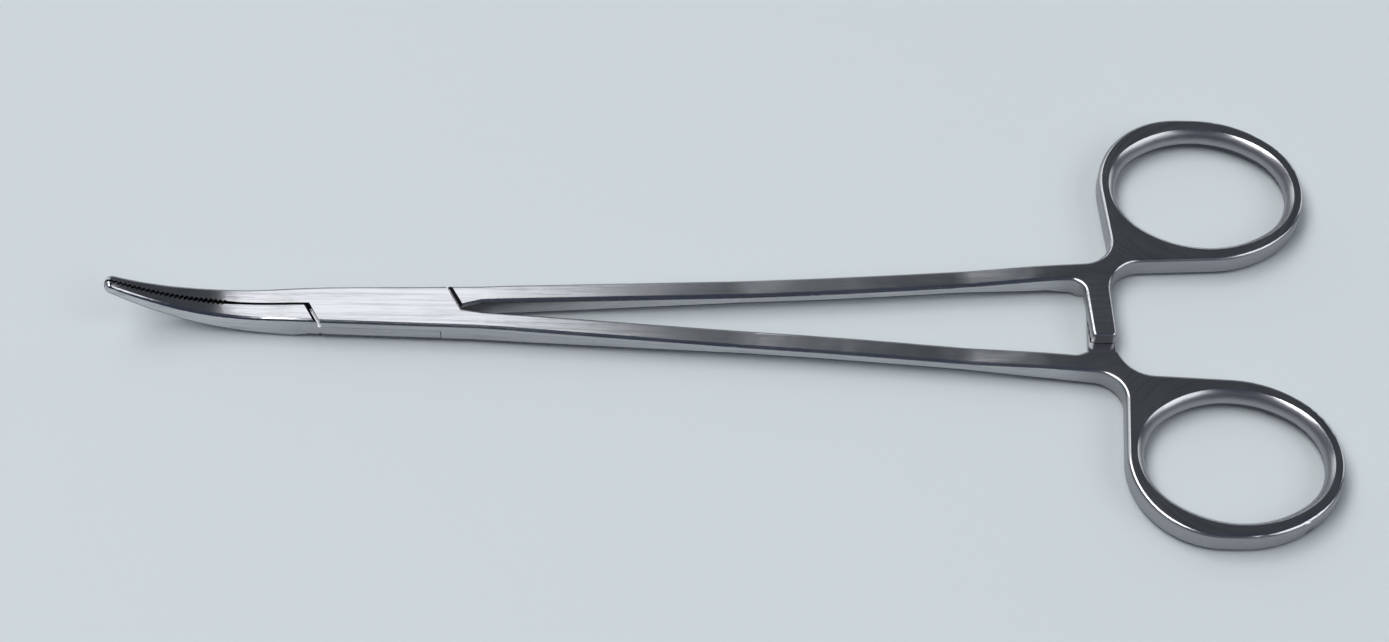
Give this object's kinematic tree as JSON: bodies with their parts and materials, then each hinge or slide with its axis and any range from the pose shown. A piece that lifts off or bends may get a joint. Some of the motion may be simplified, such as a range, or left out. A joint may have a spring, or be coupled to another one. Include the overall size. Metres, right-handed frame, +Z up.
{
  "type": "curved hemostat forceps",
  "caption": "Curved box-lock hemostat forceps with serrated jaws, long slender shanks, finger rings and a ratchet that holds the jaws shut.",
  "frame": {"origin": "where the box-lock pin's axis meets the underside of the box, which the forceps rest on", "axes": "+X from the pin towards the finger rings, +Y towards the ring of the male half, +Z up along the pin's axis, the way the jaw tips curve"},
  "size_m": [0.1842, 0.0782, 0.0096],
  "materials": {
    "satin_steel": "satin, fine lengthwise brushing",
    "pin_steel": "satin, ground flush with the box"
  },
  "bodies": {
    "female_body": {"female_half": "satin_steel", "lock_pin": "pin_steel"},
    "male_body": {"male_half": "satin_steel"}
  },
  "joints": [
    {"name": "box_lock", "type": "hinge", "parent": "female_body", "child": "male_body", "pos_m": [0, 0, 0.0022], "axis": [0, 0, 1], "range_deg": [0, 45]}
  ]
}
